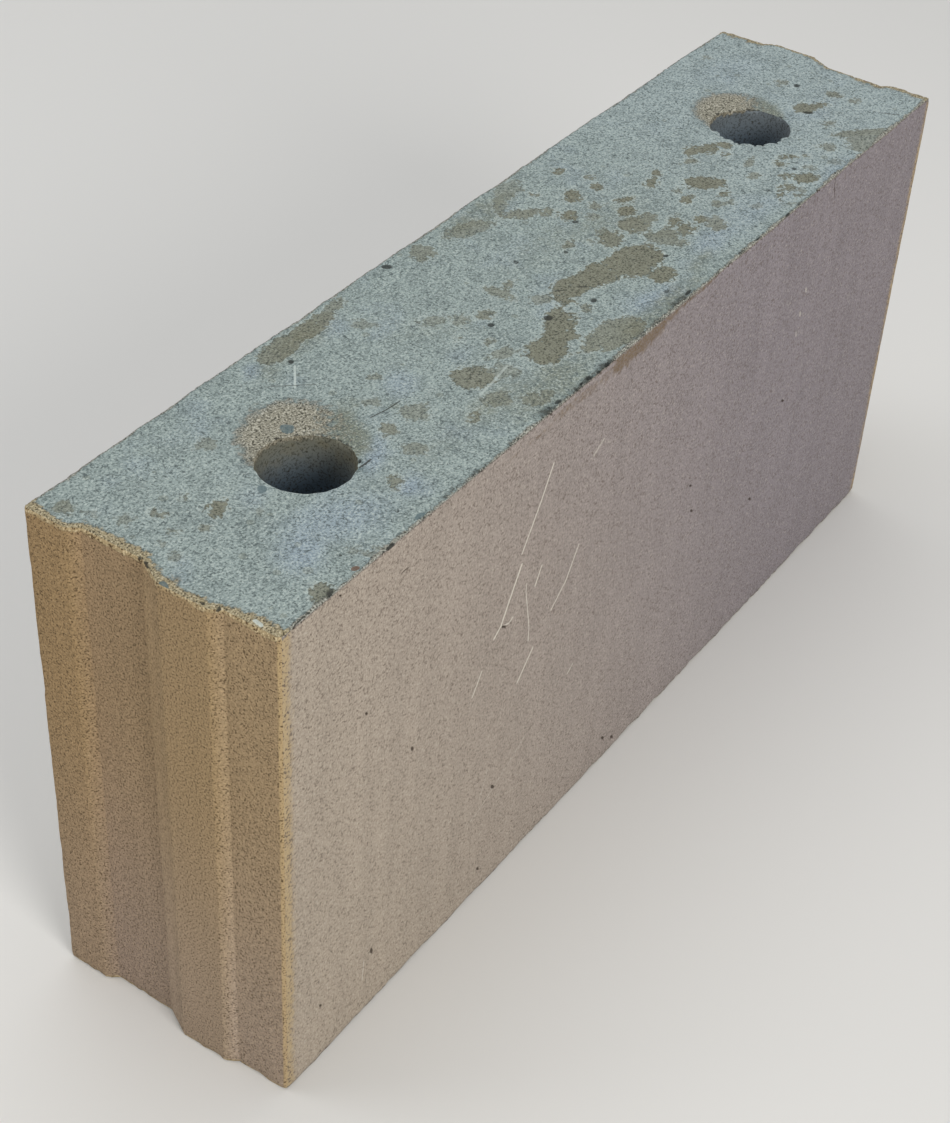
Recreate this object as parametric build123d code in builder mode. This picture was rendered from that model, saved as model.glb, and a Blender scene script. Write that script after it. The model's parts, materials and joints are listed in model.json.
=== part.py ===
"""A calcium silicate wall block: pressed in one piece, with a tongue and a groove on each end
and two grip holes that run down through it.

The block stands on its bed face with its origin in the middle of that face. X runs along its
length, Y through its thickness and Z up. The end at -X carries its tongue beside the -Y face,
the end at +X beside the +Y face. The grip holes lie a little nearer the -Y face. All sizes are
millimetres.
"""

from build123d import *
import os
from math import hypot

os.makedirs("parts", exist_ok=True)

# The block, measured between the flat margins of its ends
length = 498.0
thickness = 115.0
height = 238.0
arris_radius = 2.5

# Tongue and groove of each end. The step between them is a slope, and lies off the centre line so
# that two blocks laid end to end clear each other there.
tongue_margin = 24.0
tongue_height = 3.0
flank_run = 5.0
step_run = 12.0
proud_edge_radius = 2.5
joint_clearance = 0.5
step_clearance = 2.0
margin_clearance = 4.5

# Grip holes: how far in from each end, and off the centre line towards the -Y face
grip_radius = 18.5
grip_inset_near = 81.0
grip_inset_far = 84.0
grip_offset = 4.4

# The shallow dish torn out of the top beside each grip hole, and how far its middle lies from the
# hole's towards the far end and the +Y face
dish_radius = 24.0
dish_floor_radius = 3.0
dish_depth = 2.0
dish_shift_x = 10.5
dish_shift_y = 10.0

# How near a corner of the plan has to be to a place to be the corner meant
corner_reach = 0.1

# Sizes worked out from the ones above
end_x = length / 2
face_y = thickness / 2
tongue_step_y = (step_run + step_clearance) / 2
groove_step_y = (step_run - step_clearance) / 2
tongue_x = end_x + tongue_height
groove_x = end_x - tongue_height - joint_clearance
tongue_foot_y = -face_y + tongue_margin
groove_mouth_y = face_y - tongue_margin + margin_clearance
grip_places = [(-end_x + grip_inset_near, -grip_offset), (end_x - grip_inset_far, -grip_offset)]
dish_places = [(x + dish_shift_x, y + dish_shift_y) for x, y in grip_places]


def turned(places):
    """Gives the same places on the other end, half a turn round the block's upright axis."""
    return [(-x, -y) for x, y in places]


def corners_at(plan, places):
    """Picks the corners of a plan that lie at the given places."""
    return plan.vertices().filter_by(
        lambda corner: any(hypot(corner.X - x, corner.Y - y) < corner_reach for x, y in places)
    )


# One end, from the long face beside its tongue to the long face beside its groove
face_corners = [(-end_x, -face_y), (-end_x, face_y)]
tongue_corners = [(-tongue_x, tongue_foot_y + flank_run), (-tongue_x, -tongue_step_y)]
groove_corners = [(-groove_x, groove_step_y), (-groove_x, groove_mouth_y - flank_run)]
tongue_foot = (-end_x, tongue_foot_y)
groove_mouth = (-end_x, groove_mouth_y)
end_outline = [
    face_corners[0],
    tongue_foot,
    *tongue_corners,
    *groove_corners,
    groove_mouth,
    face_corners[1],
]
proud_corners = [*tongue_corners, groove_mouth]

with BuildPart() as block:
    with BuildSketch() as plan:
        with BuildLine():
            Polyline(*end_outline, *turned(end_outline), close=True)
        make_face()
        fillet(corners_at(plan, proud_corners + turned(proud_corners)), proud_edge_radius)
        fillet(corners_at(plan, face_corners + turned(face_corners)), arris_radius)
    extrude(amount=height)

    with Locations(*[(x, y, height - dish_depth) for x, y in dish_places]):
        Cone(
            bottom_radius=dish_floor_radius,
            top_radius=dish_radius,
            height=dish_depth,
            align=(Align.CENTER, Align.CENTER, Align.MIN),
            mode=Mode.SUBTRACT,
        )
    with Locations(*[(x, y, height) for x, y in grip_places]):
        Hole(radius=grip_radius, depth=height)

block.part.label = "block"
export_step(block.part, "parts/block.step")
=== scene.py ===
"""A calcium silicate wall block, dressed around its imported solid.

The block is one pressed piece, so one mesh stands for it. The mesh starts as the block's plan, is
raised to its height, refined where something small shows, and then worn: crumbled arrises, torn
dishes round the grip holes, pits and chips. What has marked its surface (washed-off dust, scratches,
damp) is painted into the mesh as attributes, which the finishes read beside their own grain.

Lengths are metres in the part's frame: X along the block, Y through it, Z up from the bed face.
"""

from __future__ import annotations

import json
import logging
import math
import random
from dataclasses import dataclass, field, replace
from enum import Enum
from typing import Iterator, Sequence, Union

import bmesh
import bpy
import numpy as np
from mathutils import Matrix, Vector, noise


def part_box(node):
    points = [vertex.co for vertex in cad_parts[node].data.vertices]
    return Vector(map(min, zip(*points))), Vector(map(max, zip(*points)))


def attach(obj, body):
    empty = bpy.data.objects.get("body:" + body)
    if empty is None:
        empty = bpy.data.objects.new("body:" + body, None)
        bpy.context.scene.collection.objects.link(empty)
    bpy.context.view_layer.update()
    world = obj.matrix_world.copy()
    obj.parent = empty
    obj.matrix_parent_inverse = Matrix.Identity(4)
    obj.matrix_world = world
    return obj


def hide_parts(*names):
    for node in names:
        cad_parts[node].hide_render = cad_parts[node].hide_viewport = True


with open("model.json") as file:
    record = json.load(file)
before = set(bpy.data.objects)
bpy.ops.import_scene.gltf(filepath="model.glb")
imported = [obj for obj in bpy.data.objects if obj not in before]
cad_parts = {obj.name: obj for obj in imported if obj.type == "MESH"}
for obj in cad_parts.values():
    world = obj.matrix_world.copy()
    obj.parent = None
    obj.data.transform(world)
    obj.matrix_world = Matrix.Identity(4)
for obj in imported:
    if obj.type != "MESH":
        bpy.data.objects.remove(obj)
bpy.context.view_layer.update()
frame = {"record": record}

LOG = logging.getLogger("block")
MM = 0.001
SEED = 8
DULL_SHINE = 0.25

Point = tuple[float, float, float]
Colour = tuple[float, float, float, float]


def paint(red: float, green: float, blue: float) -> Colour:
    """Turns a colour as the eye reads it, 0 to 255, into the light it reflects, 0 to 1."""

    def linear(level: float) -> float:
        share = level / 255
        return share / 12.92 if share <= 0.04045 else ((share + 0.055) / 1.055) ** 2.4

    return (linear(red), linear(green), linear(blue), 1.0)


def ease(values: np.ndarray, start: float, end: float) -> np.ndarray:
    """Rises smoothly from 0 at start to 1 at end; start may be the larger of the two."""
    share = np.clip((values - start) / (end - start), 0, 1)
    return share * share * (3 - 2 * share)


def ripple(points: np.ndarray, size: float, shift: float = 0.0, octaves: int = 2) -> np.ndarray:
    """Reads smooth noise at each point.

    Args:
        points: places, one a row.
        size: how large one bump of the noise is.
        shift: moves the pattern, so that two readings differ.
        octaves: how many finer layers lie on top of the first.

    Returns:
        One value a point, about -1 to 1.
    """
    scaled = points / size + shift
    return np.array([noise.fractal(Vector(place), 1.0, 2.0, octaves) for place in scaled])


class Face(Enum):
    """The kinds of surface on the block. The value is the mesh's material index."""

    TOP = 0
    BED = 1
    LONG = 2
    END = 3
    BORE = 4


@dataclass(frozen=True)
class ViewPoint:
    """Where the camera stood and what its lens takes in. Angles are degrees, photo sizes pixels."""

    eye: Point = (-0.6487, -0.3841, 0.6923)
    aim: Point = (-0.0749, -0.0152, 0.1523)
    roll: float = 3.28
    focal: float = 2108.0
    middle: tuple[float, float] = (467.0, 533.0)
    photo: tuple[int, int] = (950, 1123)
    sensor: float = 36.0

    def axes(self) -> tuple[Vector, Vector, Vector]:
        """Gives the directions right, up and forward, as the camera holds them."""
        forward = (Vector(self.aim) - Vector(self.eye)).normalized()
        level = forward.cross(Vector((0, 0, 1))).normalized()
        right = Matrix.Rotation(math.radians(-self.roll), 3, forward) @ level
        return right, right.cross(forward), forward

    def meet(self, pixel: tuple[float, float], axis: int, level: float) -> Vector:
        """Finds the point of the block that a pixel of the photo shows.

        Args:
            pixel: column and row in the photo.
            axis: 0, 1 or 2, the axis that the flat face is square to.
            level: where on that axis the face lies.

        Returns:
            The point on that face, in the part's frame.
        """
        right, up, forward = self.axes()
        column, row = pixel
        ray = forward + right * ((column - self.middle[0]) / self.focal)
        ray -= up * ((row - self.middle[1]) / self.focal)
        eye = Vector(self.eye)
        return eye + ray * ((level - eye[axis]) / ray[axis])

    def place_camera(self) -> None:
        """Makes the scene's camera."""
        lens = bpy.data.cameras.new("camera")
        lens.sensor_fit = "VERTICAL"
        lens.sensor_height = self.sensor
        lens.lens = self.focal / self.photo[1] * self.sensor
        lens.shift_x = (self.photo[0] / 2 - self.middle[0]) / self.photo[1]
        lens.shift_y = (self.middle[1] - self.photo[1] / 2) / self.photo[1]
        camera = bpy.data.objects.new("camera", lens)
        right, up, forward = self.axes()
        turn = Matrix((right, up, -forward)).transposed().to_4x4()
        camera.matrix_world = Matrix.Translation(self.eye) @ turn
        bpy.context.scene.collection.objects.link(camera)
        bpy.context.scene.camera = camera


class Channel:
    """A value that varies over a surface: one output socket in a finish's graph."""

    def __init__(self, graph: FinishGraph, socket: bpy.types.NodeSocket) -> None:
        """Wraps a socket.

        Args:
            graph: the finish's graph that holds the socket.
            socket: the output socket.
        """
        self.graph = graph
        self.socket = socket

    def __add__(self, other: Operand) -> Channel:
        """Adds."""
        return self.graph.maths("ADD", self, other)

    __radd__ = __add__

    def __mul__(self, other: Operand) -> Channel:
        """Multiplies."""
        return self.graph.maths("MULTIPLY", self, other)

    __rmul__ = __mul__

    def __sub__(self, other: Operand) -> Channel:
        """Takes the other away from this."""
        return self.graph.maths("SUBTRACT", self, other)

    def __rsub__(self, other: Operand) -> Channel:
        """Takes this away from the other."""
        return self.graph.maths("SUBTRACT", other, self)

    def swing(self) -> Channel:
        """Takes the middle of a noise away from it, so that it swings about 0."""
        return self - 0.5

    def step(self, start: Operand, end: Operand) -> Channel:
        """Rises smoothly from 0 at start to 1 at end."""
        settings = {"interpolation_type": "SMOOTHSTEP"}
        sockets = {"Value": self, "From Min": start, "From Max": end}
        return self.graph.node("ShaderNodeMapRange", settings, sockets, "Result")


Operand = Union[float, Channel]


class FinishGraph:
    """The node graph of one finish."""

    def __init__(self, name: str) -> None:
        """Starts an empty material.

        Args:
            name: the material's name.
        """
        self.material = bpy.data.materials.new(name)
        self.material.use_nodes = True
        self.tree = self.material.node_tree
        self.tree.nodes.clear()
        self.place = self.node("ShaderNodeTexCoord", output="Object")

    def node(
        self,
        kind: str,
        settings: dict[str, object] | None = None,
        sockets: dict[str | int, object] | None = None,
        output: str | int = 0,
    ) -> Channel:
        """Adds one node.

        Args:
            kind: the node's type.
            settings: what is set on the node itself, before its sockets. The key stops holds a
                ramp's places and colours.
            sockets: a value or a channel for each input, by name or number.
            output: which output to hand back.

        Returns:
            The output as a channel.
        """
        node = self.tree.nodes.new(kind)
        for name, value in (settings or {}).items():
            if name == "stops":
                self._set_stops(node.color_ramp, value)
            else:
                setattr(node, name, value)
        for name, value in (sockets or {}).items():
            if isinstance(value, Channel):
                self.tree.links.new(value.socket, node.inputs[name])
            else:
                node.inputs[name].default_value = value
        if not node.outputs:
            return Channel(self, None)
        return Channel(self, node.outputs[output])

    @staticmethod
    def _set_stops(ramp: bpy.types.ColorRamp, stops: Sequence[tuple[float, Colour]]) -> None:
        """Gives a ramp its stops."""
        while len(ramp.elements) < len(stops):
            ramp.elements.new(1.0)
        for element, (place, colour) in zip(ramp.elements, stops):
            element.position = place
            element.color = colour

    def maths(self, operation: str, first: Operand, second: Operand) -> Channel:
        """Joins two values with a Math node."""
        return self.node("ShaderNodeMath", {"operation": operation}, {0: first, 1: second})

    def blend(self, share: Operand, first: object, second: object, way: str = "MIX") -> Channel:
        """Mixes two colours.

        Args:
            share: how much of the second shows, 0 to 1.
            first: the colour under it.
            second: the colour over it.
            way: how they mix, such as MIX or MULTIPLY.

        Returns:
            The mixed colour.
        """
        settings = {"data_type": "RGBA", "blend_type": way}
        return self.node("ShaderNodeMix", settings, {0: share, 6: first, 7: second}, 2)

    def stretched(self, along: Point) -> Channel:
        """Gives the place on the surface with each axis multiplied, so that a pattern is drawn out."""
        return self.node("ShaderNodeVectorMath", {"operation": "MULTIPLY"}, {0: self.place, 1: along})

    def reach(self, axis: str) -> Channel:
        """Gives how far along one axis of the part each place lies."""
        return self.node("ShaderNodeSeparateXYZ", None, {0: self.place}, axis)

    def cloud(self, size: float, detail: float = 2.0, place: Channel | None = None) -> Channel:
        """Reads smooth noise, about 0.3 to 0.7.

        Args:
            size: how large one blotch is.
            detail: how many finer layers lie on it.
            place: where to read it, the surface's own place if left out.

        Returns:
            The noise.
        """
        sockets = {"Vector": place or self.place, "Scale": 1 / size, "Detail": detail, "Roughness": 0.6}
        return self.node("ShaderNodeTexNoise", None, sockets, "Fac")

    def specks(self, pitch: float, radius: float, share: float) -> Channel:
        """Scatters round specks.

        Args:
            pitch: how far apart the places are where a speck may be.
            radius: how large the largest is, as a share of the pitch.
            share: how many of the places hold one.

        Returns:
            1 on a speck and 0 between them.
        """
        sockets = {"Vector": self.place, "Scale": 1 / pitch}
        near = self.node("ShaderNodeTexVoronoi", None, sockets, "Distance")
        chance = self.node("ShaderNodeTexVoronoi", None, sockets, "Color")
        pick = self.node("ShaderNodeSeparateColor", None, {0: chance}, 0)
        reach = pick * (-radius / share) + radius
        return 1 - (near - reach).step(-0.3 * radius, 0.1 * radius)

    def mark(self, name: str) -> Channel:
        """Reads what the mesh carries under an attribute's name."""
        return self.node("ShaderNodeAttribute", {"attribute_name": name}, output="Fac")

    def close(
        self, colour: object, roughness: Operand, height: Channel, depth: float
    ) -> bpy.types.Material:
        """Ends the graph in its surface shader.

        Args:
            colour: the base colour.
            roughness: from 0, polished, to 1, chalky.
            height: the relief, in units of depth.
            depth: how high a relief of 1 stands.

        Returns:
            The finished material.
        """
        bump = {"Height": height, "Distance": depth, "Strength": 1.0}
        normal = self.node("ShaderNodeBump", None, bump, "Normal")
        surface = {
            "Base Color": colour,
            "Roughness": roughness,
            "Normal": normal,
            "Specular IOR Level": DULL_SHINE,
        }
        shader = self.node("ShaderNodeBsdfPrincipled", None, surface, "BSDF")
        self.node("ShaderNodeOutputMaterial", None, {"Surface": shader})
        return self.material


@dataclass(frozen=True)
class BrokenSand:
    """The raw inside of the block, where an arris, a rim or a chip has crumbled."""

    sand: Colour = paint(170, 158, 134)
    pale: Colour = paint(206, 200, 182)
    gap: Colour = paint(94, 87, 72)
    grain: float = 1.3 * MM

    def colour(self, graph: FinishGraph) -> Channel:
        """Gives the colour of coarse loose grains with dark gaps."""
        coarse = graph.cloud(self.grain, 2.0)
        colour = graph.blend(coarse.step(0.54, 0.64), self.sand, self.pale)
        return graph.blend(coarse.step(0.47, 0.37), colour, self.gap)


@dataclass(frozen=True)
class DustyTop:
    """The top: pale dust over the sand, washed off where drops have lain; its blue-grey tint is painted
    sky light.
    """

    # Painted light: the blue-grey of these dust colours is the cool light from above painted into them,
    # over the whitish dust.
    dust: Colour = paint(152, 165, 162)
    far_sky_tinted_dust: Colour = paint(170, 184, 188)
    cool_sky_tinted_dust: Colour = paint(150, 165, 176)
    olive_dust: Colour = paint(122, 126, 110)
    dark_grain: Colour = paint(86, 98, 98)
    light_grain: Colour = paint(200, 210, 205)
    washed: Colour = paint(120, 118, 98)
    washed_dark: Colour = paint(64, 62, 50)
    washed_light: Colour = paint(150, 150, 130)
    outline: Colour = paint(80, 86, 78)
    curl: Colour = paint(82, 92, 92)
    pit: Colour = paint(44, 46, 44)
    # Dark for cracks and for painted shade at the grip rims.
    crack: Colour = paint(56, 56, 52)
    grime: Colour = paint(58, 62, 58)
    blue_stone: Colour = paint(92, 110, 114)
    brown_stone: Colour = paint(104, 74, 56)
    broken: BrokenSand = BrokenSand(
        sand=paint(142, 142, 132),
        pale=paint(192, 192, 182),
        gap=paint(60, 60, 52),
        grain=0.75 * MM,
    )

    end_broken: BrokenSand = BrokenSand(
        sand=paint(156, 144, 114),
        pale=paint(198, 186, 158),
        gap=paint(78, 68, 50),
        grain=0.75 * MM,
    )
    grain_size: float = 0.8 * MM
    crumb_size: float = 2.4 * MM
    patch_size: float = 9 * MM
    blotch_size: float = 30 * MM
    curl_size: float = 3.0 * MM
    drop_pitch: float = 8 * MM
    spot_lobe: float = 6 * MM
    spot_fray: float = 1.8 * MM
    torn_lump: float = 1.3 * MM
    relief_depth: float = 0.4 * MM

    def material(self) -> bpy.types.Material:
        """Builds the finish."""
        graph = FinishGraph("dusty_top")
        grain = graph.cloud(self.grain_size, 4.0)
        crumbs = graph.cloud(self.crumb_size, 2.0)
        patch = graph.cloud(self.patch_size, 3.0)
        blotch = graph.cloud(self.blotch_size, 2.0)
        # The dust's blue-grey, painted sky light, with bluer patches and a lighter far part.
        cool = graph.mark("cool") + blotch.step(0.52, 0.70) * 0.35
        along = graph.reach("X")
        colour = graph.blend(along.step(0.02, 0.20) * 0.5, self.dust, self.far_sky_tinted_dust)
        colour = graph.blend(cool, colour, self.cool_sky_tinted_dust)
        olive = (graph.mark("olive") * 1.3 + crumbs.swing() * 0.7 + patch.swing() * 0.8).step(0.1, 1.0)
        colour = graph.blend(olive * 0.85, colour, self.olive_dust)
        drops = (graph.specks(self.drop_pitch, 0.30, 0.45) + crumbs.swing() * 1.2).step(0.35, 0.9)
        colour = graph.blend(drops * 0.42, colour, self.olive_dust)
        colour = graph.blend(patch.step(0.55, 0.36) * 0.22, colour, self.dark_grain)
        colour = graph.blend(grain.step(0.51, 0.37) * 0.75, colour, self.dark_grain)
        colour = graph.blend(grain.step(0.54, 0.66) * 0.62, colour, self.light_grain)
        bend = graph.maths("ABSOLUTE", graph.cloud(self.curl_size, 1.0).swing(), 0.0)
        curl = (1 - bend.step(0.012, 0.04)) * (grain + crumbs).step(1.04, 0.88)
        colour = graph.blend(curl * 0.8, colour, self.curl)
        colour, wet = self._wash(graph, colour, grain)
        torn = (graph.mark("broken") + crumbs.swing() * 1.4 + grain.swing() * 0.8).step(0.25, 0.75)
        sandy = graph.mark("sandy").step(0.1, 0.6)
        inside = graph.blend(sandy, self.broken.colour(graph), self.end_broken.colour(graph))
        colour = graph.blend(torn * 0.95, colour, inside)
        stain = graph.mark("stain")
        grime = (stain * 0.7 + patch.swing() * 2.4 + grain.swing() * 2.6).step(0.48, 0.82)
        grime = grime * stain.step(0.0, 0.5)
        colour = graph.blend(grime * 0.85, colour, self.grime)
        for name, stone in (("blue_stone", self.blue_stone), ("brown_stone", self.brown_stone)):
            rough_stone = graph.mark(name) + crumbs.swing() * 1.2
            colour = graph.blend(rough_stone.step(0.3, 0.7) * 0.8, colour, stone)
        colour = graph.blend(graph.mark("scratch").step(0.2, 0.7) * 0.7, colour, self.light_grain)
        # Dark cracks, and painted shade in the gaps and notches at the grip holes' rims.
        colour = graph.blend(graph.mark("crack").step(0.2, 0.7) * 0.85, colour, self.crack)
        # Pits, and painted shade with grime in the chips of the front arris.
        pit = (graph.mark("pit") + crumbs.swing() * 1.3 + grain.swing() * 1.5).step(0.35, 0.85)
        colour = graph.blend(pit * 0.85, colour, self.pit)
        relief = grain + torn * graph.cloud(self.torn_lump, 1.0) * 1.6 - wet * 0.3
        return graph.close(colour, 0.95 - wet * 0.12, relief, self.relief_depth)

    def _wash(self, graph: FinishGraph, dry: Channel, grain: Channel) -> tuple[Channel, Channel]:
        """Lays the washed spots over the dry dust, each with a pale rim: dust at its edge and a painted
        highlight.

        Args:
            graph: the finish's graph.
            dry: the colour of the dust.
            grain: the noise of the single grains.

        Returns:
            The colour with the spots, and how washed each place is, 0 to 1.
        """
        mark, soak = graph.mark("washed"), graph.mark("soak")
        lobes = graph.cloud(self.spot_lobe, 3.0).swing()
        ragged = (lobes + graph.cloud(self.spot_fray, 2.0).swing()) * 1.3
        level = mark + ragged * mark.step(0.0, 0.3)
        # The pale rim: dust piled at the spot's edge, and a painted highlight where the hollow's edge
        # catches the light.
        rim = level.step(0.26, 0.38) * (1 - level.step(0.42, 0.50))
        line = level.step(0.46, 0.52) * (1 - level.step(0.54, 0.68))
        wet = level.step(0.36, 0.66) * soak
        spot = graph.blend(grain.step(0.49, 0.37), self.washed, self.washed_dark)
        spot = graph.blend(grain.step(0.56, 0.70) * 0.6, spot, self.washed_light)
        colour = graph.blend(rim * soak * 0.35, dry, self.light_grain)
        colour = graph.blend(wet * 0.82, colour, spot)
        return graph.blend(line * soak * 0.4, colour, self.outline), wet


@dataclass(frozen=True)
class PressedFace:
    """A face pressed smooth by the mould: even sand with fine dark and pale specks."""

    name: str
    near: Colour
    far: Colour
    dark_speck: Colour
    light_speck: Colour
    edge_sand: Colour
    peppered: float = 0.7
    pepper_size: float = 1.5 * MM
    grain_tone: float = 0.9
    pit: Colour = paint(62, 52, 44)
    scratch: Colour = paint(214, 208, 196)
    damp: Colour = paint(108, 88, 58)
    crack: Colour = paint(66, 54, 44)
    broken: BrokenSand = BrokenSand()
    fade_axis: str = "X"
    fade_start: float = -0.26
    fade_end: float = 0.15
    fade_lean: float = 0.0
    fade_level: float = 0.12
    grain_size: float = 0.9 * MM
    cloud_size: float = 45 * MM
    fray_size: float = 1.8 * MM
    tear_size: float = 2.2 * MM
    damp_size: float = 3.0 * MM
    fleck_pitch: float = 9 * MM
    torn_lump: float = 1.3 * MM
    relief_depth: float = 0.25 * MM
    streaks_per_metre: Point = (110.0, 110.0, 9.0)
    # Tints for upright bands; on the ends they carry painted light and shade.
    bands: tuple[tuple[float, Colour], ...] = ()
    band_span: float = 115 * MM

    def material(self) -> bpy.types.Material:
        """Builds the finish."""
        graph = FinishGraph(self.name)
        # Fades from the near colour to the far: painted key-light falloff on the long face, painted
        # floor reflection low on the ends.
        along = graph.reach(self.fade_axis) + (graph.reach("Z") - self.fade_level) * self.fade_lean
        colour = graph.blend(along.step(self.fade_start, self.fade_end), self.near, self.far)
        grain = graph.cloud(self.grain_size, 3.0)
        streak = graph.cloud(1.0, 2.0, graph.stretched(self.streaks_per_metre))
        broad = graph.cloud(self.cloud_size, 2.0)
        tone = 1.0 + grain.swing() * self.grain_tone + streak.swing() * 0.22 + broad.swing() * 0.12
        grey = graph.node("ShaderNodeCombineColor", None, {0: tone, 1: tone, 2: tone}, "Color")
        colour = graph.blend(1.0, colour, grey, "MULTIPLY")
        if self.bands:
            # Multiplies in the painted light and shade of the end's bands.
            colour = graph.blend(1.0, colour, self._band_light_and_shade(graph), "MULTIPLY")
        pepper = graph.cloud(self.pepper_size, 2.0)
        dark = pepper.step(0.425, 0.35) * self.peppered
        colour = graph.blend(dark, colour, self.dark_speck)
        colour = graph.blend(pepper.step(0.60, 0.70) * 0.4, colour, self.light_speck)
        colour = graph.blend(graph.specks(self.fleck_pitch, 0.07, 0.5) * 0.6, colour, self.dark_speck)
        sandy = (graph.mark("sandy") + graph.cloud(self.fray_size, 2.0).swing() * 0.9).step(0.15, 0.8)
        rough = graph.blend(pepper.step(0.47, 0.36), self.edge_sand, self.dark_speck)
        colour = graph.blend(sandy * 0.8, colour, rough)
        stain = graph.mark("stain")
        damp = (stain + graph.cloud(self.damp_size, 3.0).swing() * 1.5).step(0.3, 0.9)
        damp = damp * stain.step(0.0, 0.4) * (grain.step(0.36, 0.60) * 0.45 + 0.35)
        colour = graph.blend(damp, colour, self.damp)
        torn = (graph.mark("broken") + graph.cloud(self.tear_size, 2.0).swing()).step(0.5, 0.75)
        colour = graph.blend(torn, colour, self.broken.colour(graph))
        colour = graph.blend(graph.mark("scratch").step(0.2, 0.7) * 0.85, colour, self.scratch)
        colour = graph.blend(graph.mark("crack").step(0.2, 0.7) * 0.8, colour, self.crack)
        # Pits, and painted shade with grime in the chips of the front arris.
        colour = graph.blend(graph.mark("pit").step(0.3, 0.8) * 0.85, colour, self.pit)
        lumps = torn * graph.cloud(self.torn_lump, 1.0) * 1.5
        relief = grain * 0.6 + sandy * grain + lumps - dark * 0.6
        return graph.close(colour, 0.93, relief, self.relief_depth)

    def _band_light_and_shade(self, graph: FinishGraph) -> Channel:
        """Reads the painted light and shade on each upright band of an end, as a tint.

        The bands run from the face beside the tongue to the one beside the groove, so they turn with
        the end: each stop is a share of the thickness and the tint there.
        """
        x = graph.reach("X")
        y = graph.reach("Y")
        across = 0.5 - graph.maths("SIGN", x, 0.0) * y * (1 / self.band_span)
        return graph.node("ShaderNodeValToRGB", {"stops": self.bands}, {0: across}, "Color")


@dataclass(frozen=True)
class BoreWall:
    """The wall of a grip hole, rubbed smooth by the mandrel: sandy at the mouth, greyer below."""

    mouth: Colour = paint(120, 119, 104)
    far_mouth: Colour = paint(114, 122, 126)
    deep: Colour = paint(102, 120, 136)
    stained: Colour = paint(128, 118, 88)
    speck: Colour = paint(58, 55, 46)
    broken: BrokenSand = BrokenSand(
        sand=paint(138, 132, 114),
        pale=paint(176, 172, 158),
        gap=paint(70, 68, 60),
        grain=0.8 * MM,
    )
    deep_level: float = 0.210
    mouth_level: float = 0.239
    grain_size: float = 0.9 * MM
    stain_size: float = 7 * MM
    speck_pitch: float = 2.6 * MM
    tear_size: float = 2.2 * MM
    torn_lump: float = 1.3 * MM
    relief_depth: float = 0.25 * MM

    def material(self) -> bpy.types.Material:
        """Builds the finish."""
        graph = FinishGraph("bore_wall")
        grain = graph.cloud(self.grain_size, 3.0)
        level = graph.reach("Z")
        along = graph.reach("X")
        mouth = graph.blend(along.step(-0.1, 0.1), self.mouth, self.far_mouth)
        near_mouth = level.step(self.deep_level, self.mouth_level)
        colour = graph.blend(near_mouth, self.deep, mouth)
        stained = graph.cloud(self.stain_size, 3.0).step(0.46, 0.62) * near_mouth
        colour = graph.blend(stained * along.step(0.1, -0.1) * 0.3, colour, self.stained)
        colour = graph.blend(grain.step(0.52, 0.36) * 0.65, colour, self.speck)
        colour = graph.blend(graph.specks(self.speck_pitch, 0.22, 0.6) * 0.75, colour, self.speck)
        torn = (graph.mark("broken") + graph.cloud(self.tear_size, 2.0).swing() * 0.9).step(0.5, 0.75)
        colour = graph.blend(torn, colour, self.broken.colour(graph))
        relief = grain * 0.6 + torn * graph.cloud(self.torn_lump, 1.0) * 1.5
        return graph.close(colour, 0.92, relief, self.relief_depth)


LONG_FACE = PressedFace(
    name="pressed_long_face",
    # Painted light: near to far the face darkens and greys, the warm key light and its falloff painted
    # into the colour, with a drift of hue toward purple-grey; fade_lean greys the upper part sooner.
    near=paint(166, 154, 139),
    far=paint(137, 130, 134),
    dark_speck=paint(100, 87, 76),
    light_speck=paint(200, 192, 178),
    edge_sand=paint(178, 156, 118),
    fade_lean=0.45,
    peppered=0.65,
    pepper_size=0.95 * MM,
    grain_tone=1.4,
    broken=BrokenSand(
        sand=paint(134, 126, 118),
        pale=paint(164, 157, 149),
        gap=paint(66, 59, 53),
        grain=1.0 * MM,
    ),
)
END_FACE = PressedFace(
    name="pressed_end_face",
    # Painted reflection: the lower part of each end is paler and greyer, the floor's bounce light
    # painted in, giving way upward to the warmer sand.
    near=paint(160, 141, 121),
    far=paint(161, 137, 103),
    fade_axis="Z",
    fade_start=0.0,
    fade_end=0.17,
    broken=BrokenSand(
        sand=paint(172, 152, 116),
        pale=paint(204, 186, 150),
        gap=paint(96, 78, 54),
        grain=1.0 * MM,
    ),
    dark_speck=paint(88, 70, 48),
    light_speck=paint(190, 168, 134),
    edge_sand=paint(182, 158, 118),
    peppered=0.9,
    pepper_size=0.8 * MM,
    grain_tone=1.6,
)
BED_FACE = PressedFace(
    name="bed_face",
    near=paint(156, 148, 134),
    far=paint(156, 148, 134),
    dark_speck=paint(100, 90, 80),
    light_speck=paint(196, 190, 178),
    edge_sand=paint(176, 160, 130),
)


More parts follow.
